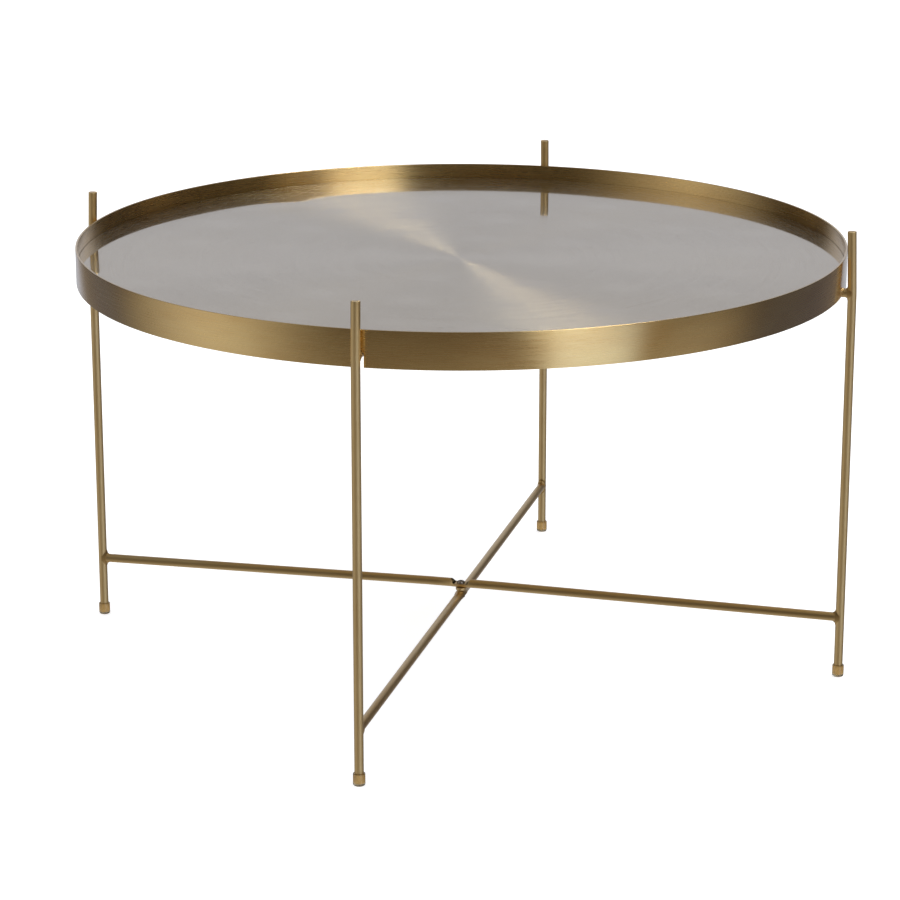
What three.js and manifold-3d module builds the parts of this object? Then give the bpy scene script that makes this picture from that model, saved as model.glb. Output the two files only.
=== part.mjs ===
// Round brass tray table: a shallow tray that lifts off a crossed frame of four rod legs.
// Millimetres, +Z up. The origin is on the floor, on the tray's vertical axis.
// The upper crossbar runs along X, the lower one along Y.
import * as THREE from 'three';
import { mergeVertices } from 'three/addons/utils/BufferGeometryUtils.js';
import Module from 'manifold-3d';

const wasm = await Module();
wasm.setup();

// ---- driving dimensions ----

// tray
const trayDiameter = 700;
const bandHeight = 32;
const bandWall = 2;
const bandEdgeBreak = 0.5;
const floorDepth = 14;
const floorSheet = 1.2;
const solderLeg = 3;

// frame
const rimHeight = 393;
const rodDiameter = 8;
const bandToRod = 3.6;
const tipAboveRim = 25;
const tipLeanDegrees = 2.1;
const bendLength = 6;
const pegDiameter = 8;
const pegReach = 12;
const pegTipBreak = 0.8;
const pegStep = 10;
const pegWeldLeg = 2.6;
const barDiameter = 8;
const upperBarHeight = 60.8;
const upperBarRise = 3.6;
const levelLength = 60;
const barWeldLeg = 4;

// feet
const capWall = 1;
const capHeight = 11;
const capBase = 2;
const capRound = 1.8;

// crossing
const flatLength = 15;
const flatWidth = 10.6;
const screwDiameter = 4;
const screwHeadDiameter = 7.6;
const screwHeadHeight = 2.2;
const socketAcrossFlats = 2.5;
const socketDepth = 1.2;
const screwTail = 0.8;
const spacerDiameter = 9.6;
const spacerThickness = 2.6;
const nutAcrossFlats = 7;
const nutHeight = 3.2;

// clearances
const jointGap = 0.3;
const pegToFloor = 1.8;
const slotPlay = 1.4;
const holePlay = 0.4;
const contactGap = 0.1;

// facets
const trayFacets = 96;
const rodFacets = 24;
const weldFacets = 24;
const arcFacets = 4;

// ---- derived sizes ----

const trayRadius = trayDiameter / 2;
const bandInside = trayRadius - bandWall;
const bandBottom = rimHeight - bandHeight;
const floorTop = rimHeight - floorDepth;
const rodRadius = rodDiameter / 2;
const pegRadius = pegDiameter / 2;
const barRadius = barDiameter / 2;
const legCircle = trayRadius + bandToRod + rodRadius;
const slotRadius = pegRadius + slotPlay / 2;
const lean = THREE.MathUtils.degToRad(tipLeanDegrees);
const upperBarEnds = upperBarHeight - upperBarRise;
const lowerBarHeight = upperBarHeight - barDiameter - spacerThickness;
const highPegHeight = floorTop - floorSheet - pegToFloor - pegRadius;
const lowPegHeight = highPegHeight - pegStep;
const holeRadius = (screwDiameter + holePlay) / 2;

// ---- finishes ----

const brushedBrass = { color: 0xa98e58, roughness: 0.36, metalness: 1 };
const darkBrass = { color: 0x8f7747, roughness: 0.42, metalness: 1 };
const clearPlastic = { color: 0xb5aea3, roughness: 0.3, metalness: 0 };
const zincSteel = { color: 0x6d6a66, roughness: 0.4, metalness: 1 };

// ---- helpers ----

function mesh(name, geometry, finish) {
  const part = new THREE.Mesh(geometry, new THREE.MeshStandardMaterial(finish));
  part.name = name;
  return part;
}

function solid(geometry) {
  geometry.deleteAttribute('normal');
  geometry.deleteAttribute('uv');
  const merged = mergeVertices(geometry);
  return new wasm.Manifold(new wasm.Mesh({
    numProp: 3,
    vertProperties: new Float32Array(merged.attributes.position.array),
    triVerts: new Uint32Array(merged.index.array),
  }));
}

function geometryOf(body) {
  const result = body.getMesh();
  const geometry = new THREE.BufferGeometry();
  geometry.setAttribute('position', new THREE.BufferAttribute(result.vertProperties, 3));
  geometry.setIndex(new THREE.BufferAttribute(result.triVerts, 1));
  geometry.computeVertexNormals();
  return geometry;
}

// A solid turned about Z, from [radius, height] points.
function turned(points, facets) {
  const outline = points.map(([radius, height]) => new THREE.Vector2(radius, height));
  return new THREE.LatheGeometry(outline, facets).rotateX(Math.PI / 2);
}

// A solid turned about a line through the leg at a given height, running inwards from the rod's axis.
function turnedInwards(points, facets, height) {
  const outline = points.map(([radius, along]) => new THREE.Vector2(radius, along));
  return new THREE.LatheGeometry(outline, facets).rotateZ(Math.PI / 2).translate(legCircle, 0, height);
}

function upright(radius, bottom, top, facets) {
  return new THREE.CylinderGeometry(radius, radius, top - bottom, facets)
    .rotateX(Math.PI / 2)
    .translate(0, 0, (bottom + top) / 2);
}

function hexagon(acrossFlats) {
  const shape = new THREE.Shape();
  for (let corner = 0; corner < 6; corner += 1) {
    const angle = corner * Math.PI / 3;
    const reach = acrossFlats / Math.sqrt(3);
    if (corner === 0) shape.moveTo(reach * Math.cos(angle), reach * Math.sin(angle));
    else shape.lineTo(reach * Math.cos(angle), reach * Math.sin(angle));
  }
  shape.closePath();
  return shape;
}

// A straight-sided path whose steps are the given stations, so that a bend takes only a few.
class StationPath extends THREE.Curve {
  constructor(stations) {
    super();
    this.stations = stations;
  }

  segment(u) {
    const last = this.stations.length - 2;
    return Math.max(0, Math.min(Math.floor(u * (last + 1) + 1e-9), last));
  }

  getPointAt(u, target = new THREE.Vector3()) {
    const index = this.segment(u);
    const share = u * (this.stations.length - 1) - index;
    return target.copy(this.stations[index]).lerp(this.stations[index + 1], share);
  }

  getTangentAt(u, target = new THREE.Vector3()) {
    const station = Math.round(u * (this.stations.length - 1));
    const before = this.stations[Math.max(station - 1, 0)];
    const after = this.stations[Math.min(station + 1, this.stations.length - 1)];
    return target.copy(after).sub(before).normalize();
  }
}

// ---- tray ----

// The rim band is a strip rolled on edge. Slots open at its lower edge drop over the four pegs.
function slotCutter(pegHeight, azimuth) {
  const archCentre = pegHeight + pegRadius + jointGap - slotRadius;
  const shape = new THREE.Shape();
  shape.moveTo(-slotRadius, bandBottom - bandHeight);
  shape.lineTo(slotRadius, bandBottom - bandHeight);
  shape.lineTo(slotRadius, archCentre);
  shape.absarc(0, archCentre, slotRadius, 0, Math.PI, false);
  shape.closePath();
  const depth = 6 * bandWall;
  const cutter = new THREE.ExtrudeGeometry(shape, {
    depth,
    bevelEnabled: false,
    curveSegments: rodFacets / 2,
  });
  const across = new THREE.Matrix4().makeBasis(
    new THREE.Vector3(0, 1, 0),
    new THREE.Vector3(0, 0, 1),
    new THREE.Vector3(1, 0, 0),
  );
  cutter.applyMatrix4(across).translate(bandInside - depth / 2, 0, 0).rotateZ(azimuth);
  return solid(cutter);
}

function withSlots(body, legs) {
  return legs.reduce((cut, leg) => cut.subtract(slotCutter(leg.pegHeight, leg.azimuth)), body);
}

function rimBand(legs) {
  const outline = [
    [trayRadius, bandBottom],
    [trayRadius, rimHeight - bandEdgeBreak],
    [trayRadius - bandEdgeBreak, rimHeight],
    [bandInside + bandEdgeBreak, rimHeight],
    [bandInside, rimHeight - bandEdgeBreak],
    [bandInside, bandBottom],
    [trayRadius, bandBottom],
  ];
  const band = withSlots(solid(turned(outline, trayFacets)), legs);
  return mesh('tray_rim_band', geometryOf(band), brushedBrass);
}

function trayFloor() {
  const edge = bandInside - jointGap;
  const outline = [
    [0, floorTop - floorSheet],
    [edge, floorTop - floorSheet],
    [edge, floorTop],
    [0, floorTop],
  ];
  return mesh('tray_floor', turned(outline, trayFacets), brushedBrass);
}

// The solder runs all round under the floor, in the corner with the band, and is cleared for the pegs.
function solderFillet(legs) {
  const top = floorTop - floorSheet - jointGap;
  const outside = bandInside - jointGap;
  const outline = [
    [outside, top],
    [outside - solderLeg, top],
    [outside, top - solderLeg],
    [outside, top],
  ];
  const solder = withSlots(solid(turned(outline, trayFacets)), legs);
  return mesh('tray_solder_fillet', geometryOf(solder), darkBrass);
}

// ---- frame ----

// Each leg stands upright to its peg and leans in slightly above it.
function legRod(leg) {
  const start = leg.pegHeight - bendLength / 2;
  const end = leg.pegHeight + bendLength / 2;
  const top = rimHeight + tipAboveRim;
  const leanIn = (height) => legCircle - (height - leg.pegHeight) * Math.tan(lean);
  const stations = [
    new THREE.Vector3(legCircle, 0, capBase + jointGap),
    new THREE.Vector3(legCircle, 0, start),
    new THREE.Vector3(legCircle, 0, leg.pegHeight),
    new THREE.Vector3(leanIn(end), 0, end),
    new THREE.Vector3(leanIn(top), 0, top),
  ];
  const section = new THREE.Shape().absarc(0, 0, rodRadius, 0, 2 * Math.PI, false);
  const rod = new THREE.ExtrudeGeometry(section, {
    extrudePath: new StationPath(stations),
    steps: stations.length - 1,
    curveSegments: rodFacets / 2,
  });
  return mesh(`leg_rod_${leg.side}`, rod, brushedBrass);
}

// The peg is butted to the rod and passes through the band's slot.
function supportPeg(leg) {
  const root = rodRadius + jointGap;
  const tip = legCircle - bandInside + pegReach;
  const outline = [
    [0, root],
    [pegRadius, root],
    [pegRadius, tip - pegTipBreak],
    [pegRadius - pegTipBreak, tip],
    [0, tip],
  ];
  return mesh(`support_peg_${leg.side}`, turnedInwards(outline, rodFacets, leg.pegHeight), brushedBrass);
}

// A weld: a concave fillet round a bar's end, hugging the rod that the bar is butted to.
function weld(name, barSize, leg, height) {
  const outline = [
    [0, rodRadius / 2],
    [barSize + leg, rodRadius / 2],
  ];
  for (let step = 0; step <= arcFacets; step += 1) {
    const angle = step / arcFacets * Math.PI / 2;
    outline.push([barSize + leg - leg * Math.sin(angle), rodRadius + leg - leg * Math.cos(angle)]);
  }
  outline.push([0, rodRadius + leg]);
  const squeeze = (barSize + leg / 3) / (barSize + leg);
  const flare = solid(turnedInwards(outline, weldFacets, height).scale(1, squeeze, 1));
  const rod = upright(rodRadius + jointGap, height - 4 * barSize, height + 4 * barSize, rodFacets)
    .translate(legCircle, 0, 0);
  const bore = new THREE.CylinderGeometry(barSize + jointGap, barSize + jointGap, 8 * barSize, rodFacets)
    .rotateZ(Math.PI / 2)
    .translate(legCircle, 0, height);
  return mesh(name, geometryOf(flare.subtract(solid(rod)).subtract(solid(bore))), darkBrass);
}

// A crossbar along X, level over its middle and drooping by the rise at its ends. Its middle is pressed to half
// its depth, on top for the screw's head, which spreads it sideways.
function crossbarSolid(rise) {
  const reach = legCircle - rodRadius - jointGap;
  const stations = [
    new THREE.Vector3(-reach, 0, -rise),
    new THREE.Vector3(-levelLength / 2, 0, 0),
    new THREE.Vector3(levelLength / 2, 0, 0),
    new THREE.Vector3(reach, 0, -rise),
  ];
  const section = new THREE.Shape().absarc(0, 0, barRadius, 0, 2 * Math.PI, false);
  const bar = new THREE.ExtrudeGeometry(section, {
    extrudePath: new StationPath(stations),
    steps: stations.length - 1,
    curveSegments: rodFacets / 2,
  });
  const spread = new THREE.CylinderGeometry(barRadius, barRadius, flatLength - 1, rodFacets)
    .rotateZ(Math.PI / 2)
    .scale(1, flatWidth / barDiameter, 1);
  const pressed = new THREE.BoxGeometry(flatLength, barDiameter * 2, barDiameter).translate(0, 0, barRadius);
  const hole = upright(holeRadius, -barDiameter, barDiameter, rodFacets);
  return solid(bar).add(solid(spread)).subtract(solid(pressed)).subtract(solid(hole));
}

function upperCrossbar() {
  const bar = geometryOf(crossbarSolid(upperBarRise)).translate(0, 0, upperBarHeight);
  return mesh('crossbar_upper', bar, brushedBrass);
}

// The lower crossbar is straight, and turned over so that its flat takes the nut.
function lowerCrossbar() {
  const bar = geometryOf(crossbarSolid(0))
    .rotateX(Math.PI)
    .rotateZ(Math.PI / 2)
    .translate(0, 0, lowerBarHeight);
  return mesh('crossbar_lower', bar, brushedBrass);
}

function crossScrew() {
  const seat = upperBarHeight + contactGap;
  const end = lowerBarHeight - nutHeight - screwTail;
  const outline = [
    [0, end],
    [screwDiameter / 2, end],
    [screwDiameter / 2, seat],
    [screwHeadDiameter / 2, seat],
    [screwHeadDiameter / 2, seat + screwHeadHeight],
    [0, seat + screwHeadHeight],
  ];
  const socket = new THREE.ExtrudeGeometry(hexagon(socketAcrossFlats), {
    depth: socketDepth * 2,
    bevelEnabled: false,
  }).translate(0, 0, seat + screwHeadHeight - socketDepth);
  const screw = solid(turned(outline, rodFacets)).subtract(solid(socket));
  return mesh('cross_screw', geometryOf(screw), zincSteel);
}

// The spacer keeps the two bars apart where they cross.
function crossSpacer() {
  const bottom = lowerBarHeight + barRadius + contactGap;
  const top = upperBarHeight - barRadius - contactGap;
  const outline = [
    [holeRadius, bottom],
    [spacerDiameter / 2, bottom],
    [spacerDiameter / 2, top],
    [holeRadius, top],
    [holeRadius, bottom],
  ];
  return mesh('cross_spacer', turned(outline, rodFacets), brushedBrass);
}

function crossNut() {
  const shape = hexagon(nutAcrossFlats);
  shape.holes.push(new THREE.Path().absarc(0, 0, holeRadius, 0, 2 * Math.PI, true));
  const nut = new THREE.ExtrudeGeometry(shape, {
    depth: nutHeight - contactGap,
    bevelEnabled: false,
    curveSegments: rodFacets / 2,
  }).translate(0, 0, lowerBarHeight - nutHeight);
  return mesh('cross_nut', nut, zincSteel);
}

// A push-on cap: a cup round the rod's lower end, rounded where it meets the floor.
function footCap(leg) {
  const inside = rodRadius + jointGap;
  const outside = inside + capWall;
  const outline = [[0, 0]];
  for (let step = 0; step <= arcFacets; step += 1) {
    const angle = step / arcFacets * Math.PI / 2;
    outline.push([outside - capRound + capRound * Math.sin(angle), capRound - capRound * Math.cos(angle)]);
  }
  outline.push([outside, capHeight], [inside, capHeight], [inside, capBase], [0, capBase]);
  const cap = turned(outline, rodFacets).translate(legCircle, 0, 0);
  return mesh(`foot_cap_${leg.side}`, cap, clearPlastic);
}

// ---- assembly ----

const legs = [
  { side: 'right', azimuth: 0, pegHeight: lowPegHeight, barHeight: upperBarEnds },
  { side: 'back', azimuth: Math.PI / 2, pegHeight: highPegHeight, barHeight: lowerBarHeight },
  { side: 'left', azimuth: Math.PI, pegHeight: lowPegHeight, barHeight: upperBarEnds },
  { side: 'front', azimuth: -Math.PI / 2, pegHeight: highPegHeight, barHeight: lowerBarHeight },
];

const table = new THREE.Group();

const tray = new THREE.Group();
tray.add(rimBand(legs), trayFloor(), solderFillet(legs));
table.add(tray);

for (const leg of legs) {
  const corner = new THREE.Group();
  corner.rotation.z = leg.azimuth;
  corner.add(
    legRod(leg),
    supportPeg(leg),
    weld(`peg_weld_${leg.side}`, pegRadius, pegWeldLeg, leg.pegHeight),
    weld(`bar_weld_${leg.side}`, barRadius, barWeldLeg, leg.barHeight),
    footCap(leg),
  );
  table.add(corner);
}

table.add(upperCrossbar(), lowerCrossbar(), crossScrew(), crossSpacer(), crossNut());

export default table;
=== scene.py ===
import math

import bmesh
import bpy
from mathutils import Matrix, Vector


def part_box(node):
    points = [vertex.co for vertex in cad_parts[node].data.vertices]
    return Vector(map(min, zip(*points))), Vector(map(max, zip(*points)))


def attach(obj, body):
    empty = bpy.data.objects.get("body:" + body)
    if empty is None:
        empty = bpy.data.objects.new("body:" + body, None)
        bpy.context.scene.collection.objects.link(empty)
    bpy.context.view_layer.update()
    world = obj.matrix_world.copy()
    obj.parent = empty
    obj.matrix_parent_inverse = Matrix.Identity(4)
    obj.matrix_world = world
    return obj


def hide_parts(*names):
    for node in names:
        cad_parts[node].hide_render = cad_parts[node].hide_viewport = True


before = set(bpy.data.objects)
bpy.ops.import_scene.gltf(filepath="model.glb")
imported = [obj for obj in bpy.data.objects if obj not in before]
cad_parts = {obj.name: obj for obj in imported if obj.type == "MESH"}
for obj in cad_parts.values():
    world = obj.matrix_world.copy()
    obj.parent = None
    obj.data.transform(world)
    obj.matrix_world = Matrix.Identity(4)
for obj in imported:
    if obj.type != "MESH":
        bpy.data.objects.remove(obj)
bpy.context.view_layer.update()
scene = bpy.context.scene
scene.view_settings.view_transform = "Standard"

# ---- sizes in metres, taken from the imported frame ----

MM = 0.001
band_low, band_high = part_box("tray_rim_band")
sheet_low, sheet_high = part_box("tray_floor")
solder_low, solder_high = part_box("tray_solder_fillet")
screw_low, screw_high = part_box("cross_screw")
spacer_low, spacer_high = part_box("cross_spacer")
nut_low, nut_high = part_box("cross_nut")
upper_low, upper_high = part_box("crossbar_upper")
lower_low, lower_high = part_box("crossbar_lower")
rod_low, rod_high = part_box("leg_rod_right")
cap_low, cap_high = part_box("foot_cap_right")

RIM_RADIUS = band_high.x
STRIP_THICKNESS = 2 * MM
STRIP_INSIDE = RIM_RADIUS - STRIP_THICKNESS
SHEET_RADIUS = sheet_high.x
ROD_RADIUS = rod_high.y
LEG_CIRCLE = rod_high.x - ROD_RADIUS
TIP_LEAN = math.radians(2.1)
LEG_TOP = rod_high.z - ROD_RADIUS * math.sin(TIP_LEAN)
LEG_FOOT = rod_low.z
BAR_RADIUS = (lower_high.z - lower_low.z) / 2
BEND_LENGTH = 6 * MM
PEG_CLEARANCE = 0.3 * MM
SLOT_PLAY = 0.7 * MM
SEAM_WIDTH = 0.7 * MM
SEAM_DEPTH = 0.2 * MM
FLAT_LENGTH = 15 * MM
LEVEL_LENGTH = 60 * MM
FLAT_SPREAD = 0.33
HOLE_RADIUS = 2.2 * MM
SCREW_RADIUS = 2 * MM
HEAD_HEIGHT = 2.2 * MM
SOCKET_FLATS = 2.5 * MM
SOCKET_DEPTH = 1.2 * MM
PEG_BRAZE_LEG = 2.6 * MM
BAR_BRAZE_LEG = 4 * MM
CAP_FLOOR = 2 * MM

# How far a peg or a crossbar is let into its leg, and how far a braze bites into both.
LET_IN = 1 * MM
BRAZE_BITE = 0.15 * MM

# Each leg, and how far round the tray it stands.
LEGS = {"right": 0, "back": 90, "left": 180, "front": 270}

# The brushed sheet was cut a little off the centre of its brushing.
BRUSHING_CENTRE = Vector((3.4 * MM, -19 * MM, 0))

# The joint in the rim strip, as degrees round from the right leg.
SEAM_ANGLE = 134.5

# Shallow bumps that soldering left in the sheet: degrees round, then radius, spread and height in metres.
SHEET_BUMPS = (
    (142, 0.264, 0.028, 0.8 * MM),
    (108, 0.262, 0.050, -0.25 * MM),
    (66, 0.255, 0.052, 0.30 * MM),
    (38, 0.262, 0.040, -0.20 * MM),
    (12, 0.250, 0.055, 0.30 * MM),
    (170, 0.262, 0.050, 0.25 * MM),
    (205, 0.250, 0.060, -0.40 * MM),
    (250, 0.245, 0.055, 0.35 * MM),
    (300, 0.255, 0.060, -0.35 * MM),
    (335, 0.250, 0.050, 0.40 * MM),
)


# ---- materials ----

def linear(hex_colour):
    """Turns an sRGB hex colour into the linear colour that a shader takes."""
    channels = [int(hex_colour[i:i + 2], 16) / 255 for i in (1, 3, 5)]
    straight = [c / 12.92 if c <= 0.04045 else ((c + 0.055) / 1.055) ** 2.4 for c in channels]
    return (*straight, 1)


def node(tree, kind, settings=None, sockets=None):
    """Adds a node, with its own settings and with a value or another node's output on each socket."""
    made = tree.nodes.new(kind)
    for name, value in (settings or {}).items():
        setattr(made, name, value)
    for name, value in (sockets or {}).items():
        if isinstance(value, bpy.types.NodeSocket):
            tree.links.new(value, made.inputs[name])
        else:
            made.inputs[name].default_value = value
    return made


def finish(name, sockets):
    """Starts a material with its shader's even values; its patterns are joined on afterwards."""
    material = bpy.data.materials.new(name)
    material.use_nodes = True
    tree = material.node_tree
    tree.nodes.clear()
    shader = node(tree, "ShaderNodeBsdfPrincipled", sockets=sockets)
    node(tree, "ShaderNodeOutputMaterial", sockets={"Surface": shader.outputs["BSDF"]})
    return material, tree, shader


def brushed_strip_brass():
    """Lacquered brass strip, belt-brushed along its length: long hairlines, and light drawn out upwards."""
    material, tree, shader = finish("brushed_lacquered_brass_strip", {
        "Metallic": 1.0,
        "Anisotropic": 0.95,
        "Coat Weight": 0.8,
        "Coat Roughness": 0.12,
    })
    place = node(tree, "ShaderNodeTexCoord").outputs["Object"]
    # hairlines about 30 mm long and 0.7 mm apart, coarser than the real 0.1 mm so that they show
    hair_place = node(tree, "ShaderNodeMapping", sockets={"Vector": place, "Scale": (32, 32, 1400)})
    hair = node(tree, "ShaderNodeTexNoise", sockets={
        "Vector": hair_place.outputs["Vector"], "Scale": 1.0, "Detail": 3.0, "Roughness": 0.65,
    }).outputs["Fac"]
    # slow clouding of the lacquer and tarnish, about 60 mm across
    cloud_place = node(tree, "ShaderNodeMapping", sockets={"Vector": place, "Scale": (16, 16, 60)})
    cloud = node(tree, "ShaderNodeTexNoise", sockets={
        "Vector": cloud_place.outputs["Vector"], "Scale": 1.0, "Detail": 2.0,
    }).outputs["Fac"]
    tone = node(tree, "ShaderNodeMix", {"data_type": "RGBA"}, {
        "Factor": hair, 6: linear("#d9b471"), 7: linear("#efd59b"),
    }).outputs[2]
    aged = node(tree, "ShaderNodeMapRange", sockets={
        "Value": cloud, "From Min": 0.35, "From Max": 0.75, "To Min": 0.0, "To Max": 0.35,
    }).outputs["Result"]
    colour = node(tree, "ShaderNodeMix", {"data_type": "RGBA"}, {
        "Factor": aged, 6: tone, 7: linear("#c89c5f"),
    }).outputs[2]
    rough = node(tree, "ShaderNodeMapRange", sockets={
        "Value": hair, "From Min": 0.25, "From Max": 0.75, "To Min": 0.24, "To Max": 0.33,
    }).outputs["Result"]
    relief = node(tree, "ShaderNodeBump", sockets={
        "Height": hair, "Strength": 0.15, "Distance": 0.04 * MM,
    }).outputs["Normal"]
    round_the_rim = node(tree, "ShaderNodeVectorMath", {"operation": "CROSS_PRODUCT"}, {
        0: (0, 0, 1), 1: place,
    }).outputs["Vector"]
    face = node(tree, "ShaderNodeNewGeometry").outputs["Normal"]
    across = node(tree, "ShaderNodeVectorMath", {"operation": "CROSS_PRODUCT"}, {
        0: round_the_rim, 1: face,
    }).outputs["Vector"]
    tree.links.new(colour, shader.inputs["Base Color"])
    tree.links.new(rough, shader.inputs["Roughness"])
    tree.links.new(relief, shader.inputs["Normal"])
    tree.links.new(across, shader.inputs["Tangent"])
    return material


def turned_sheet_brass():
    """Polished brass sheet brushed in rings, lacquered: a soft mirror with two bright fans from its centre."""
    material, tree, shader = finish("ring_brushed_brass_sheet", {
        "Metallic": 1.0,
        "Anisotropic": 1.0,
        "Coat Weight": 0.6,
        "Coat Roughness": 0.03,
    })
    place = node(tree, "ShaderNodeTexCoord").outputs["Object"]
    from_centre = node(tree, "ShaderNodeMapping", sockets={
        "Vector": place, "Location": -BRUSHING_CENTRE, "Scale": (1, 1, 0),
    }).outputs["Vector"]
    radius = node(tree, "ShaderNodeVectorMath", {"operation": "LENGTH"}, {0: from_centre}).outputs["Value"]
    # rings 0.02 mm apart, as fine polishing grit leaves them, that fade in and out every 80 mm or so
    flat_place = node(tree, "ShaderNodeSeparateXYZ", sockets={"Vector": from_centre})
    turns = node(tree, "ShaderNodeMath", {"operation": "MULTIPLY"}, {0: radius, 1: 50000.0}).outputs["Value"]
    along_x = node(tree, "ShaderNodeMath", {"operation": "MULTIPLY"}, {0: flat_place.outputs["X"], 1: 12.0})
    along_y = node(tree, "ShaderNodeMath", {"operation": "MULTIPLY"}, {0: flat_place.outputs["Y"], 1: 12.0})
    ring_place = node(tree, "ShaderNodeCombineXYZ", sockets={
        "X": along_x.outputs["Value"], "Y": along_y.outputs["Value"], "Z": turns,
    }).outputs["Vector"]
    rings = node(tree, "ShaderNodeTexNoise", sockets={
        "Vector": ring_place, "Scale": 1.0, "Detail": 1.0, "Roughness": 0.5,
    }).outputs["Fac"]
    cloud = node(tree, "ShaderNodeTexNoise", sockets={
        "Vector": place, "Scale": 9.0, "Detail": 3.0,
    }).outputs["Fac"]
    tone = node(tree, "ShaderNodeMix", {"data_type": "RGBA"}, {
        "Factor": rings, 6: linear("#d0bd98"), 7: linear("#dfd1b4"),
    }).outputs[2]
    colour = node(tree, "ShaderNodeMix", {"data_type": "RGBA"}, {
        "Factor": cloud, 6: tone, 7: linear("#cdbc9d"),
    }).outputs[2]
    rough = node(tree, "ShaderNodeMapRange", sockets={
        "Value": rings, "From Min": 0.56, "From Max": 0.62, "To Min": 0.05, "To Max": 0.45,
    }).outputs["Result"]
    # the sheet is out of flat by a few hundredths of a millimetre every 110 mm
    relief = node(tree, "ShaderNodeBump", sockets={
        "Height": cloud, "Strength": 0.5, "Distance": 0.05 * MM,
    }).outputs["Normal"]
    round_centre = node(tree, "ShaderNodeVectorMath", {"operation": "CROSS_PRODUCT"}, {
        0: (0, 0, 1), 1: from_centre,
    }).outputs["Vector"]
    face = node(tree, "ShaderNodeNewGeometry").outputs["Normal"]
    across = node(tree, "ShaderNodeVectorMath", {"operation": "CROSS_PRODUCT"}, {
        0: round_centre, 1: face,
    }).outputs["Vector"]
    tree.links.new(colour, shader.inputs["Base Color"])
    tree.links.new(rough, shader.inputs["Roughness"])
    tree.links.new(relief, shader.inputs["Normal"])
    tree.links.new(across, shader.inputs["Tangent"])
    return material


def drawn_rod_brass():
    """Drawn and brushed brass rod under lacquer: fine lines down its length, and light drawn out round it."""
    material, tree, shader = finish("drawn_lacquered_brass_rod", {
        "Metallic": 1.0,
        "Anisotropic": 0.8,
        "Coat Weight": 0.3,
        "Coat Roughness": 0.12,
    })
    place = node(tree, "ShaderNodeAttribute", {"attribute_name": "as_drawn"}).outputs["Vector"]
    # drawing lines 0.5 mm apart and about 60 mm long
    line_place = node(tree, "ShaderNodeMapping", sockets={"Vector": place, "Scale": (2000, 2000, 16)})
    lines = node(tree, "ShaderNodeTexNoise", sockets={
        "Vector": line_place.outputs["Vector"], "Scale": 1.0, "Detail": 2.0,
    }).outputs["Fac"]
    cloud_place = node(tree, "ShaderNodeMapping", sockets={"Vector": place, "Scale": (120, 120, 18)})
    cloud = node(tree, "ShaderNodeTexNoise", sockets={
        "Vector": cloud_place.outputs["Vector"], "Scale": 1.0, "Detail": 3.0,
    }).outputs["Fac"]
    tone = node(tree, "ShaderNodeMix", {"data_type": "RGBA"}, {
        "Factor": lines, 6: linear("#e6c78c"), 7: linear("#f6e0ad"),
    }).outputs[2]
    colour = node(tree, "ShaderNodeMix", {"data_type": "RGBA"}, {
        "Factor": cloud, 6: tone, 7: linear("#d8b67c"),
    }).outputs[2]
    rough = node(tree, "ShaderNodeMapRange", sockets={
        "Value": lines, "From Min": 0.3, "From Max": 0.7, "To Min": 0.36, "To Max": 0.46,
    }).outputs["Result"]
    relief = node(tree, "ShaderNodeBump", sockets={
        "Height": lines, "Strength": 0.25, "Distance": 0.03 * MM,
    }).outputs["Normal"]
    along = node(tree, "ShaderNodeAttribute", {"attribute_name": "drawn_along"}).outputs["Vector"]
    face = node(tree, "ShaderNodeNewGeometry").outputs["Normal"]
    round_the_rod = node(tree, "ShaderNodeVectorMath", {"operation": "CROSS_PRODUCT"}, {
        0: along, 1: face,
    }).outputs["Vector"]
    tree.links.new(colour, shader.inputs["Base Color"])
    tree.links.new(rough, shader.inputs["Roughness"])
    tree.links.new(relief, shader.inputs["Normal"])
    tree.links.new(round_the_rod, shader.inputs["Tangent"])
    return material


def brazed_brass():
    """Brazed brass, wire-brushed after the torch: smooth, a shade browner, with a little ripple."""
    material, tree, shader = finish("brazed_brass_joint", {
        "Metallic": 1.0,
        "Coat Weight": 0.3,
        "Coat Roughness": 0.15,
    })
    place = node(tree, "ShaderNodeTexCoord").outputs["Object"]
    # ripples left as the braze froze, about 1.5 mm apart
    ripple = node(tree, "ShaderNodeTexNoise", sockets={
        "Vector": place, "Scale": 650.0, "Detail": 2.0,
    }).outputs["Fac"]
    # heat tint that changes every 8 mm or so
    heat = node(tree, "ShaderNodeTexNoise", sockets={
        "Vector": place, "Scale": 120.0, "Detail": 2.0,
    }).outputs["Fac"]
    colour = node(tree, "ShaderNodeMix", {"data_type": "RGBA"}, {
        "Factor": heat, 6: linear("#ddbd81"), 7: linear("#bd9b65"),
    }).outputs[2]
    rough = node(tree, "ShaderNodeMapRange", sockets={
        "Value": ripple, "From Min": 0.3, "From Max": 0.7, "To Min": 0.34, "To Max": 0.48,
    }).outputs["Result"]
    relief = node(tree, "ShaderNodeBump", sockets={
        "Height": ripple, "Strength": 0.2, "Distance": 0.06 * MM,
    }).outputs["Normal"]
    tree.links.new(colour, shader.inputs["Base Color"])
    tree.links.new(rough, shader.inputs["Roughness"])
    tree.links.new(relief, shader.inputs["Normal"])
    return material


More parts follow.
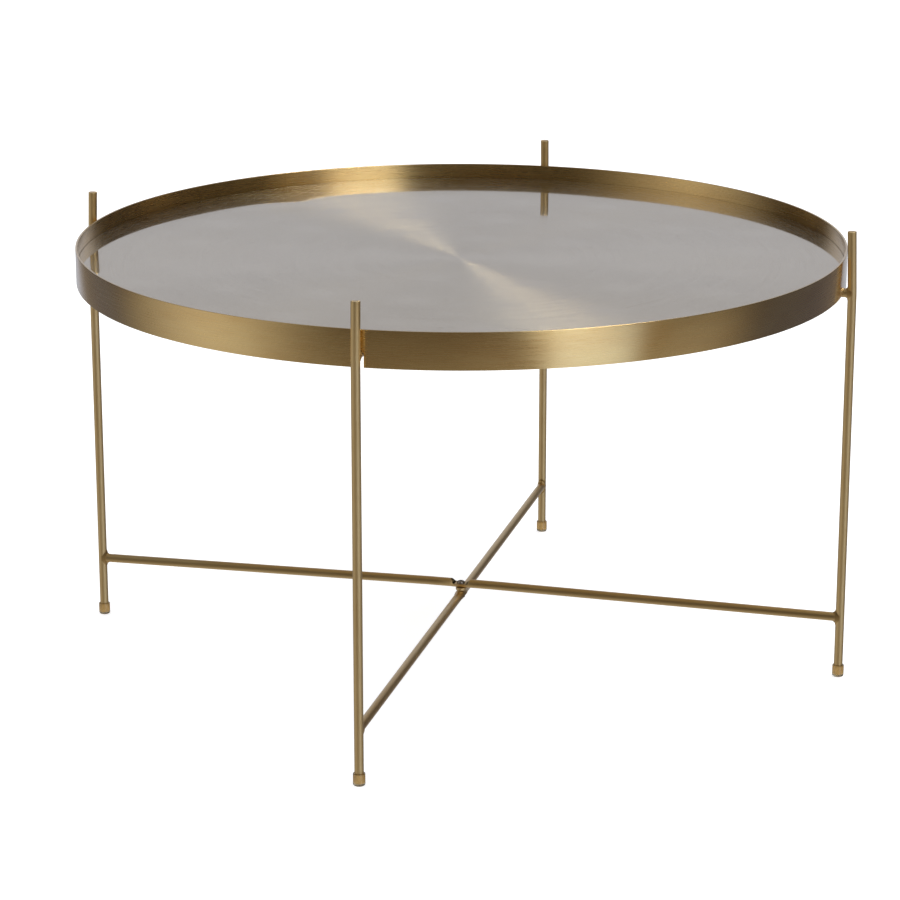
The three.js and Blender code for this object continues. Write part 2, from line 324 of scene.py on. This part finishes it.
def zinc_steel():
    """Zinc-plated steel: cool grey, satin, with faint turning marks and duller patches."""
    material, tree, shader = finish("zinc_plated_steel", {"Metallic": 1.0})
    place = node(tree, "ShaderNodeTexCoord").outputs["Object"]
    # turning marks 0.25 mm apart
    turning_place = node(tree, "ShaderNodeMapping", sockets={"Vector": place, "Scale": (400, 400, 4000)})
    turning = node(tree, "ShaderNodeTexNoise", sockets={
        "Vector": turning_place.outputs["Vector"], "Scale": 1.0, "Detail": 2.0,
    }).outputs["Fac"]
    colour = node(tree, "ShaderNodeMix", {"data_type": "RGBA"}, {
        "Factor": turning, 6: linear("#857f78"), 7: linear("#b3aba1"),
    }).outputs[2]
    rough = node(tree, "ShaderNodeMapRange", sockets={
        "Value": turning, "From Min": 0.3, "From Max": 0.7, "To Min": 0.25, "To Max": 0.42,
    }).outputs["Result"]
    relief = node(tree, "ShaderNodeBump", sockets={
        "Height": turning, "Strength": 0.3, "Distance": 0.03 * MM,
    }).outputs["Normal"]
    tree.links.new(colour, shader.inputs["Base Color"])
    tree.links.new(rough, shader.inputs["Roughness"])
    tree.links.new(relief, shader.inputs["Normal"])
    return material


def clear_vinyl():
    """Clear soft vinyl, dip-moulded: lets the rod show through, cloudy, with a glossy skin."""
    material, tree, shader = finish("clear_moulded_vinyl", {
        "Metallic": 0.0,
        "IOR": 1.53,
        "Transmission Weight": 0.95,
    })
    place = node(tree, "ShaderNodeTexCoord").outputs["Object"]
    # milkiness that changes every 3 mm or so
    cloud = node(tree, "ShaderNodeTexNoise", sockets={
        "Vector": place, "Scale": 300.0, "Detail": 2.0,
    }).outputs["Fac"]
    colour = node(tree, "ShaderNodeMix", {"data_type": "RGBA"}, {
        "Factor": cloud, 6: linear("#cfc2a4"), 7: linear("#bfb191"),
    }).outputs[2]
    rough = node(tree, "ShaderNodeMapRange", sockets={
        "Value": cloud, "From Min": 0.3, "From Max": 0.7, "To Min": 0.12, "To Max": 0.24,
    }).outputs["Result"]
    tree.links.new(colour, shader.inputs["Base Color"])
    tree.links.new(rough, shader.inputs["Roughness"])
    return material


strip_brass = brushed_strip_brass()
sheet_brass = turned_sheet_brass()
rod_brass = drawn_rod_brass()
joint_brass = brazed_brass()
steel = zinc_steel()
vinyl = clear_vinyl()


# ---- making ----

def turn(corners, breaks, steps=48):
    """Turns a closed outline of (radius, height) corners round Z, with each corner rounded by its break."""
    blank = bmesh.new()
    outline = [blank.verts.new((radius, 0, height)) for radius, height in corners]
    blank.faces.new(outline)
    for corner, radius in zip(outline, breaks):
        if radius:
            bmesh.ops.bevel(
                blank, geom=[corner], offset=radius, segments=4, profile=0.5, affect="VERTICES", material=-1,
            )
    bmesh.ops.delete(blank, geom=blank.faces[:], context="FACES_ONLY")
    on_axis = [edge for edge in blank.edges if all(end.co.x < 1e-9 for end in edge.verts)]
    bmesh.ops.delete(blank, geom=on_axis, context="EDGES")
    bmesh.ops.spin(
        blank, geom=blank.verts[:] + blank.edges[:], cent=(0, 0, 0), axis=(0, 0, 1),
        angle=2 * math.pi, steps=steps, use_merge=True, use_duplicate=False,
    )
    bmesh.ops.remove_doubles(blank, verts=blank.verts[:], dist=1e-6)
    bmesh.ops.recalc_face_normals(blank, faces=blank.faces[:])
    return blank


def move(blank, *steps):
    for step in steps:
        bmesh.ops.transform(blank, matrix=step, verts=blank.verts[:])
    return blank


def shift(x=0, y=0, z=0):
    return Matrix.Translation((x, y, z))


def turned_by(degrees, axis):
    return Matrix.Rotation(math.radians(degrees), 4, axis)


def mark_drawing(blank, along):
    """Keeps where each point lay on the straight rod, and which way the rod runs once in its place."""
    place = blank.verts.layers.float_vector.new("as_drawn")
    way = blank.verts.layers.float_vector.new("drawn_along")
    for point in blank.verts:
        point[place] = point.co
        point[way] = along
    return blank


def solid_object(name, blank):
    mesh = bpy.data.meshes.new(name)
    blank.to_mesh(mesh)
    blank.free()
    made = bpy.data.objects.new(name, mesh)
    scene.collection.objects.link(made)
    return made


def machine(blank, *tools, operation="DIFFERENCE"):
    """Takes the tools' shapes out of a blank, as a punch, a mill or a drill does."""
    work = solid_object("work", blank)
    punches = [solid_object("tool", tool) for tool in tools]
    for punch in punches:
        step = work.modifiers.new("cut", "BOOLEAN")
        step.object = punch
        step.operation = operation
        step.solver = "EXACT"
    bpy.context.view_layer.update()
    result = bmesh.new()
    result.from_object(work, bpy.context.evaluated_depsgraph_get())
    for used in [work, *punches]:
        mesh = used.data
        bpy.data.objects.remove(used)
        bpy.data.meshes.remove(mesh)
    bmesh.ops.remove_doubles(result, verts=result.verts[:], dist=1e-6)
    return result


def fit(name, blank, material, slot, body, *nodes):
    """Puts a finished piece in the frame, in place of its plain solids."""
    made = solid_object(name, blank)
    made.data.materials.append(material)
    made.data.shade_smooth()
    made.data.set_sharp_from_angle(angle=math.radians(35))
    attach(made, body)
    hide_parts(*nodes)
    return made


def middle(node_name):
    low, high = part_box(node_name)
    return (low.z + high.z) / 2


def peg_slot(side):
    """An arch-topped punch, open below, that clears the peg of one leg."""
    radius = ROD_RADIUS + SLOT_PLAY
    top = middle(f"support_peg_{side}") + ROD_RADIUS + PEG_CLEARANCE
    punch = bmesh.new()
    bmesh.ops.create_cone(
        punch, cap_ends=True, segments=64, radius1=radius, radius2=radius, depth=12 * MM,
        matrix=shift(STRIP_INSIDE, 0, top - radius) @ turned_by(90, "Y"),
    )
    lower = [point for point in punch.verts if point.co.z < top - radius - 1e-6]
    bmesh.ops.translate(punch, verts=lower, vec=(0, 0, -40 * MM))
    return move(punch, turned_by(LEGS[side], "Z"))


def seam_groove():
    """The butt joint of the strip, dressed almost flush: a hair-wide groove down the inside."""
    groove = bmesh.new()
    bmesh.ops.create_cube(groove, size=1, matrix=(
        turned_by(SEAM_ANGLE, "Z") @ shift(STRIP_INSIDE, 0, band_high.z)
        @ Matrix.Diagonal((2 * SEAM_DEPTH, SEAM_WIDTH, 2 * (band_high.z - sheet_high.z), 1))
    ))
    return groove


# ---- tray ----

rim = turn(
    [
        (RIM_RADIUS, band_low.z), (RIM_RADIUS, band_high.z),
        (STRIP_INSIDE, band_high.z), (STRIP_INSIDE, band_low.z),
    ],
    [0.3 * MM, 0.5 * MM, 0.5 * MM, 0.3 * MM],
    steps=360,
)
rim = machine(rim, *[peg_slot(side) for side in LEGS], seam_groove())
fit("tray_rim_strip", rim, strip_brass, "tray_band_brass", "tray", "tray_rim_band")

sheet = bmesh.new()
rim_edge = sheet.verts.new((SHEET_RADIUS, 0, sheet_high.z))
centre = sheet.verts.new((0, 0, sheet_high.z))
bmesh.ops.subdivide_edges(sheet, edges=[sheet.edges.new((centre, rim_edge))], cuts=95)
bmesh.ops.spin(
    sheet, geom=sheet.verts[:] + sheet.edges[:], cent=(0, 0, 0), axis=(0, 0, 1),
    angle=2 * math.pi, steps=240, use_merge=True, use_duplicate=False,
)
bmesh.ops.remove_doubles(sheet, verts=sheet.verts[:], dist=1e-6)
for point in sheet.verts:
    held = 1 - (point.co.xy.length / SHEET_RADIUS) ** 8
    for degrees, radius, spread, height in SHEET_BUMPS:
        place = Vector((math.cos(math.radians(degrees)), math.sin(math.radians(degrees)))) * radius
        point.co.z += held * height * math.exp(-((point.co.xy - place).length / spread) ** 2)
bmesh.ops.recalc_face_normals(sheet, faces=sheet.faces[:])
if sheet.faces[0].normal.z < 0:
    bmesh.ops.reverse_faces(sheet, faces=sheet.faces[:])
bmesh.ops.solidify(sheet, geom=sheet.faces[:], thickness=sheet_high.z - sheet_low.z)
fit("tray_sheet", sheet, sheet_brass, "tray_floor_brass", "tray", "tray_floor")

solder_leg = solder_high.z - solder_low.z
solder = turn(
    [
        (solder_high.x, solder_high.z),
        (solder_high.x - solder_leg, solder_high.z),
        (solder_high.x - 0.72 * solder_leg, solder_high.z - 0.32 * solder_leg),
        (solder_high.x - 0.32 * solder_leg, solder_high.z - 0.72 * solder_leg),
        (solder_high.x, solder_low.z),
    ],
    [0, 0, 0, 0, 0],
    steps=240,
)
solder = machine(solder, *[peg_slot(side) for side in LEGS])
fit("tray_solder_ring", solder, joint_brass, "weld_brass", "tray", "tray_solder_fillet")


# ---- legs ----

def leg_rod(side):
    """A rod cut from drawn stock, its end faced and broken, then bent in a little above the peg."""
    bend_start = middle(f"support_peg_{side}") - BEND_LENGTH / 2
    rod = turn(
        [(0, LEG_FOOT), (ROD_RADIUS, LEG_FOOT), (ROD_RADIUS, LEG_TOP), (0, LEG_TOP)],
        [0, 0.5 * MM, 0.6 * MM, 0],
        steps=40,
    )
    for step in range(7):
        bmesh.ops.bisect_plane(
            rod, geom=rod.verts[:] + rod.edges[:] + rod.faces[:],
            plane_co=(0, 0, bend_start + BEND_LENGTH * step / 6), plane_no=(0, 0, 1),
        )
    mark_drawing(rod, Vector((0, 0, 1)))
    turned = TIP_LEAN / 6
    for step in range(6):
        hinge = bend_start + BEND_LENGTH * (step + 0.5) / 6
        above = [point for point in rod.verts if point.co.z > hinge]
        bmesh.ops.rotate(rod, verts=above, cent=(0, 0, hinge), matrix=Matrix.Rotation(-turned, 3, "Y"))
    return move(rod, shift(LEG_CIRCLE), turned_by(LEGS[side], "Z"))


def support_peg(side):
    """A short length of the same rod, with its inner end broken, that the tray hangs on."""
    low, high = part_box("support_peg_right")
    root = LEG_CIRCLE - ROD_RADIUS + LET_IN
    length = root - low.x
    peg = turn(
        [(0, 0), (ROD_RADIUS, 0), (ROD_RADIUS, length), (0, length)],
        [0, 0.2 * MM, 0.8 * MM, 0],
        steps=40,
    )
    mark_drawing(peg, turned_by(LEGS[side], "Z") @ Vector((1, 0, 0)))
    return move(
        peg, turned_by(-90, "Y"), shift(root, 0, middle(f"support_peg_{side}")), turned_by(LEGS[side], "Z"),
    )


def braze(node_name, side, leg):
    """A fillet of braze: a collar on the bar that flares, hollow-faced, onto the upright rod."""
    low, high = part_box(node_name)
    height = (low.z + high.z) / 2
    flare = ROD_RADIUS + leg
    bite = ROD_RADIUS - BRAZE_BITE
    hollow = 10
    face = [
        (flare - leg * math.sin(angle), leg - leg * math.cos(angle))
        for angle in (math.pi / 2 * step / hollow for step in range(hollow + 1))
    ]
    corners = [(bite, -ROD_RADIUS), (flare, -ROD_RADIUS), *face, (bite, leg)]
    collar = turn(corners, [0] * len(corners), steps=64)
    squeeze = (ROD_RADIUS + 0.2 * MM) / flare
    move(
        collar, Matrix.Diagonal((1, squeeze, 1, 1)), turned_by(-90, "Y"),
        shift(LEG_CIRCLE - ROD_RADIUS, 0, height),
    )
    above, below = height + 30 * MM, height - 30 * MM
    rod = turn([(0, below), (bite, below), (bite, above), (0, above)], [0] * 4, steps=64)
    move(rod, shift(LEG_CIRCLE))
    beyond = bmesh.new()
    bmesh.ops.create_cube(beyond, size=0.1, matrix=shift(LEG_CIRCLE + 0.05, 0, height))
    collar = machine(collar, rod, beyond)
    return move(collar, turned_by(LEGS[side], "Z"))


def foot_cap():
    """A dip-moulded cup with a thick round bottom and a rolled lip."""
    outside = cap_high.y
    inside = ROD_RADIUS - 0.02 * MM
    return turn(
        [(0, 0), (outside, 0), (outside, cap_high.z), (inside, cap_high.z), (inside, CAP_FLOOR), (0, CAP_FLOOR)],
        [0, 1.8 * MM, 0.5 * MM, 0.5 * MM, 0.3 * MM, 0],
        steps=64,
    )


for side, degrees in LEGS.items():
    fit(f"leg_{side}", leg_rod(side), rod_brass, "rod_brass", "frame", f"leg_rod_{side}")
    fit(f"peg_{side}", support_peg(side), rod_brass, "rod_brass", "frame", f"support_peg_{side}")
    peg_braze = braze(f"peg_weld_{side}", side, PEG_BRAZE_LEG)
    fit(f"peg_braze_{side}", peg_braze, joint_brass, "weld_brass", "frame", f"peg_weld_{side}")
    bar_braze = braze(f"bar_weld_{side}", side, BAR_BRAZE_LEG)
    fit(f"bar_braze_{side}", bar_braze, joint_brass, "weld_brass", "frame", f"bar_weld_{side}")
    cap = move(foot_cap(), shift(LEG_CIRCLE), turned_by(degrees, "Z"))
    fit(f"cap_{side}", cap, vinyl, "clear_plastic", "frame", f"foot_cap_{side}")


# ---- cross ----

def crossbar(rise, along):
    """A rod let into the legs at its ends and level over its middle, which is pressed flat to half its depth."""
    reach = LEG_CIRCLE - ROD_RADIUS + LET_IN
    bar = turn([(0, -reach), (BAR_RADIUS, -reach), (BAR_RADIUS, reach), (0, reach)], [0] * 4, steps=48)
    press_reach = FLAT_LENGTH / 2 + 1.5 * MM
    cuts = [press_reach * step / 8 for step in range(-8, 9)]
    cuts += [way * LEVEL_LENGTH * share for share in (0.42, 0.5) for way in (-1, 1)]
    for cut in cuts:
        bmesh.ops.bisect_plane(
            bar, geom=bar.verts[:] + bar.edges[:] + bar.faces[:], plane_co=(0, 0, cut), plane_no=(0, 0, 1),
        )
    mark_drawing(bar, along)
    move(bar, turned_by(90, "Y"))
    # pressing spreads the bar sideways, and beyond its level middle the bar slopes down to its ends
    for point in bar.verts:
        off = abs(point.co.x)
        point.co.y *= 1 + FLAT_SPREAD * max(0, 1 - (off / press_reach) ** 2) ** 0.6
        point.co.z -= rise * max(0, (off - LEVEL_LENGTH / 2) / (reach - LEVEL_LENGTH / 2))
    press = bmesh.new()
    bmesh.ops.create_cube(press, size=1, matrix=(
        shift(0, 0, 2 * BAR_RADIUS) @ Matrix.Diagonal((FLAT_LENGTH, 4 * BAR_RADIUS, 4 * BAR_RADIUS, 1))
    ))
    # the press has a narrow foot with rounded edges and sloping ends
    for point in press.verts:
        way = math.copysign(1, point.co.x)
        point.co.x += way * (-1 * MM if point.co.z < 0.1 * MM else 10 * MM)
    foot = [edge for edge in press.edges if all(end.co.z < 0.1 * MM for end in edge.verts)]
    foot = [edge for edge in foot if abs(sum(end.co.x for end in edge.verts)) > MM]
    bmesh.ops.bevel(press, geom=foot, offset=1.2 * MM, segments=4, profile=0.5, affect="EDGES", material=-1)
    drill = bmesh.new()
    bmesh.ops.create_cone(
        drill, cap_ends=True, segments=40, radius1=HOLE_RADIUS, radius2=HOLE_RADIUS, depth=6 * BAR_RADIUS,
    )
    return machine(bar, press, drill)


UPPER_LEVEL = upper_high.z - BAR_RADIUS
upper_rise = UPPER_LEVEL - middle("bar_weld_right")
upper = move(crossbar(upper_rise, Vector((1, 0, 0))), shift(z=UPPER_LEVEL))
fit("crossbar_over", upper, rod_brass, "rod_brass", "frame", "crossbar_upper")
lower = move(
    crossbar(0, Vector((0, 1, 0))), turned_by(180, "X"), turned_by(90, "Z"), shift(z=middle("crossbar_lower")),
)
fit("crossbar_under", lower, rod_brass, "rod_brass", "frame", "crossbar_lower")


def socket_screw():
    """A button-head screw: low domed head with a hexagon socket, on a plain shank with its end broken."""
    seat = screw_high.z - HEAD_HEIGHT
    head = (screw_high.x - screw_low.x) / 2
    body = turn(
        [
            (0, screw_low.z), (SCREW_RADIUS, screw_low.z), (SCREW_RADIUS, seat),
            (head, seat), (head, screw_high.z), (0, screw_high.z),
        ],
        [0, 0.4 * MM, 0, 0.15 * MM, 1.9 * MM, 0],
        steps=64,
    )
    across = SOCKET_FLATS / math.sqrt(3)
    socket = bmesh.new()
    bmesh.ops.create_cone(
        socket, cap_ends=True, segments=6, radius1=across, radius2=across, depth=2 * SOCKET_DEPTH,
        matrix=shift(z=screw_high.z),
    )
    return machine(body, socket)


def hexagon_nut():
    """A hexagon nut with its corners turned off at both faces."""
    height = nut_high.z - nut_low.z
    flats = nut_high.y - nut_low.y
    corner = flats / math.sqrt(3)
    nut = bmesh.new()
    bmesh.ops.create_cone(
        nut, cap_ends=True, segments=6, radius1=corner, radius2=corner, depth=height,
        matrix=shift(z=(nut_low.z + nut_high.z) / 2) @ turned_by(30, "Z"),
    )
    turning = turn(
        [
            (0, nut_low.z), (flats / 2, nut_low.z), (corner + 0.05 * MM, nut_low.z + 0.16 * height),
            (corner + 0.05 * MM, nut_high.z - 0.16 * height), (flats / 2, nut_high.z), (0, nut_high.z),
        ],
        [0] * 6,
        steps=72,
    )
    drill = turn(
        [
            (0, nut_low.z - MM), (HOLE_RADIUS, nut_low.z - MM),
            (HOLE_RADIUS, nut_high.z + MM), (0, nut_high.z + MM),
        ],
        [0] * 4,
    )
    return machine(machine(nut, turning, operation="INTERSECT"), drill)


fit("cross_socket_screw", socket_screw(), steel, "zinc_steel", "frame", "cross_screw")
fit("cross_hexagon_nut", hexagon_nut(), steel, "zinc_steel", "frame", "cross_nut")
spacer_radius = (spacer_high.x - spacer_low.x) / 2
spacer = turn(
    [
        (HOLE_RADIUS, spacer_low.z), (spacer_radius, spacer_low.z),
        (spacer_radius, spacer_high.z), (HOLE_RADIUS, spacer_high.z),
    ],
    [0.1 * MM, 0.3 * MM, 0.3 * MM, 0.1 * MM],
    steps=64,
)
mark_drawing(spacer, Vector((0, 0, 1)))
fit("cross_washer", spacer, rod_brass, "rod_brass", "frame", "cross_spacer")


# ---- studio ----

def backdrop():
    """A plain pale floor."""
    floor = bmesh.new()
    bmesh.ops.create_grid(floor, x_segments=1, y_segments=1, size=30)
    made = solid_object("studio_floor", floor)
    paper, tree, shader = finish("pale_lit_acrylic", {
        "Base Color": (0.6, 0.6, 0.6, 1), "Roughness": 1.0, "Specular IOR Level": 0.0,
        "Emission Color": (1, 1, 1, 1), "Emission Strength": 0.68,
    })
    # clear from beneath, so that the underside can be looked at
    under = node(tree, "ShaderNodeNewGeometry").outputs["Backfacing"]
    clear = node(tree, "ShaderNodeBsdfTransparent")
    one_sided = node(tree, "ShaderNodeMixShader", sockets={
        0: under, 1: shader.outputs["BSDF"], 2: clear.outputs["BSDF"],
    })
    tree.links.new(one_sided.outputs["Shader"], tree.nodes["Material Output"].inputs["Surface"])
    made.data.materials.append(paper)
    made.visible_glossy = False


backdrop()

VIEW_ANGLE = math.radians(14.01)
VIEW_DROP = math.radians(16.435)
camera_right = Vector((math.cos(VIEW_ANGLE), math.sin(VIEW_ANGLE), 0))
camera_back = Vector((
    math.sin(VIEW_ANGLE) * math.cos(VIEW_DROP), -math.cos(VIEW_ANGLE) * math.cos(VIEW_DROP), math.sin(VIEW_DROP),
))
looked_at = -10.3 * MM * camera_right + Vector((0, 0, band_high.z - 201.7 * MM))
camera = bpy.data.objects.new("camera", bpy.data.cameras.new("camera"))
scene.collection.objects.link(camera)
camera.data.sensor_width = 36
camera.data.lens = 123.3
camera.data.clip_end = 100
camera.location = looked_at + camera_back * 2.8695
camera.rotation_euler = (-camera_back).to_track_quat("-Z", "Y").to_euler()
scene.camera = camera

# The room, as the brass mirrors it: soft patches of light by direction. Each has the angle round from the camera's
# own side, positive to its right, its height above the horizon, its half width and half height and how soft its
# edges are, all in degrees, and its light.
LOW_TONE = (0.182, 0.152, 0.12, 1)
HIGH_TONE = (0.030, 0.024, 0.019, 1)
ROOM_PATCHES = (
    (0, 90, 360, 63, 7, (0.165, 0.155, 0.14)),
    (115, -25, 24, 25, 14, (0.10, 0.10, 0.13)),
    (-128, -25, 12, 25, 10, (0.15, 0.15, 0.18)),
    (66, -22, 20, 18, 12, (0.41, 0.39, 0.36)),
    (14, -22, 12, 18, 10, (0.26, 0.22, 0.18)),
    (-79, 0, 22, 60, 24, (0.67, 0.66, 0.64)),
    (54, 5, 7, 60, 6, (0.27, 0.22, 0.16)),
    (38.5, -25, 13.5, 27, 5, (0.96, 1.10, 1.34)),
    (32.5, 8, 12, 12, 5, (0.88, 0.83, 0.75)),
    (32.5, 38, 12, 16, 5, (3.2, 3.6, 4.4)),
    (180, -20, 26, 62, 9, (0.52, 0.54, 0.61)),
    (138, 68, 7, 7, 4, (42, 40, 34)),
    (0, 90, 360, 18, 12, (0.34, 0.34, 0.34)),
    (0, -90, 360, 45, 16, (0.50, 0.48, 0.46)),
)


def room():
    """Soft studio light: even white all round and on the matt floor, and the patches for anything that shines."""
    world = bpy.data.worlds.new("studio")
    world.use_nodes = True
    tree = world.node_tree
    tree.nodes.clear()
    way = node(tree, "ShaderNodeTexCoord").outputs["Generated"]
    parts = node(tree, "ShaderNodeSeparateXYZ", sockets={"Vector": way})
    rise = node(tree, "ShaderNodeMath", {"operation": "ARCSINE"}, {0: parts.outputs["Z"]}).outputs["Value"]
    above = node(tree, "ShaderNodeMapRange", sockets={
        "Value": rise, "From Min": math.radians(-4), "From Max": math.radians(4),
    }).outputs["Result"]
    colour = node(tree, "ShaderNodeMix", {"data_type": "RGBA"}, {
        "Factor": above, 6: LOW_TONE, 7: HIGH_TONE,
    }).outputs[2]
    for degrees, height, half_width, half_height, soft, light in ROOM_PATCHES:
        facing = VIEW_ANGLE + math.radians(degrees)
        towards = Vector((math.sin(facing), -math.cos(facing), 0))
        sideways = towards.cross(Vector((0, 0, 1)))
        ahead = node(tree, "ShaderNodeVectorMath", {"operation": "DOT_PRODUCT"}, {0: way, 1: towards})
        beside = node(tree, "ShaderNodeVectorMath", {"operation": "DOT_PRODUCT"}, {0: way, 1: sideways})
        turn_off = node(tree, "ShaderNodeMath", {"operation": "ARCTAN2"}, {
            0: beside.outputs["Value"], 1: ahead.outputs["Value"],
        })
        share = None
        for off, centre_angle, half in ((turn_off.outputs["Value"], 0, half_width), (rise, height, half_height)):
            away = node(tree, "ShaderNodeMath", {"operation": "SUBTRACT"}, {0: off, 1: math.radians(centre_angle)})
            away = node(tree, "ShaderNodeMath", {"operation": "ABSOLUTE"}, {0: away.outputs["Value"]})
            fade = node(tree, "ShaderNodeMapRange", {"interpolation_type": "SMOOTHSTEP"}, {
                "Value": away.outputs["Value"], "From Min": math.radians(half - soft),
                "From Max": math.radians(half + soft), "To Min": 1.0, "To Max": 0.0,
            }).outputs["Result"]
            share = fade if share is None else node(tree, "ShaderNodeMath", {"operation": "MULTIPLY"}, {
                0: share, 1: fade,
            }).outputs["Value"]
        colour = node(tree, "ShaderNodeMix", {"data_type": "RGBA"}, {
            "Factor": share, 6: colour, 7: (*light, 1),
        }).outputs[2]
    patches = node(tree, "ShaderNodeBackground", sockets={"Color": colour, "Strength": 1.0})
    even = node(tree, "ShaderNodeBackground", sockets={"Color": (1, 1, 1, 1), "Strength": 1.0})
    path = node(tree, "ShaderNodeLightPath")
    matt = node(tree, "ShaderNodeMath", {"operation": "MAXIMUM"}, {
        0: path.outputs["Is Diffuse Ray"], 1: path.outputs["Is Camera Ray"],
    }).outputs["Value"]
    both = node(tree, "ShaderNodeMixShader", sockets={
        0: matt, 1: patches.outputs["Background"], 2: even.outputs["Background"],
    })
    node(tree, "ShaderNodeOutputWorld", sockets={"Surface": both.outputs["Shader"]})
    scene.world = world


room()
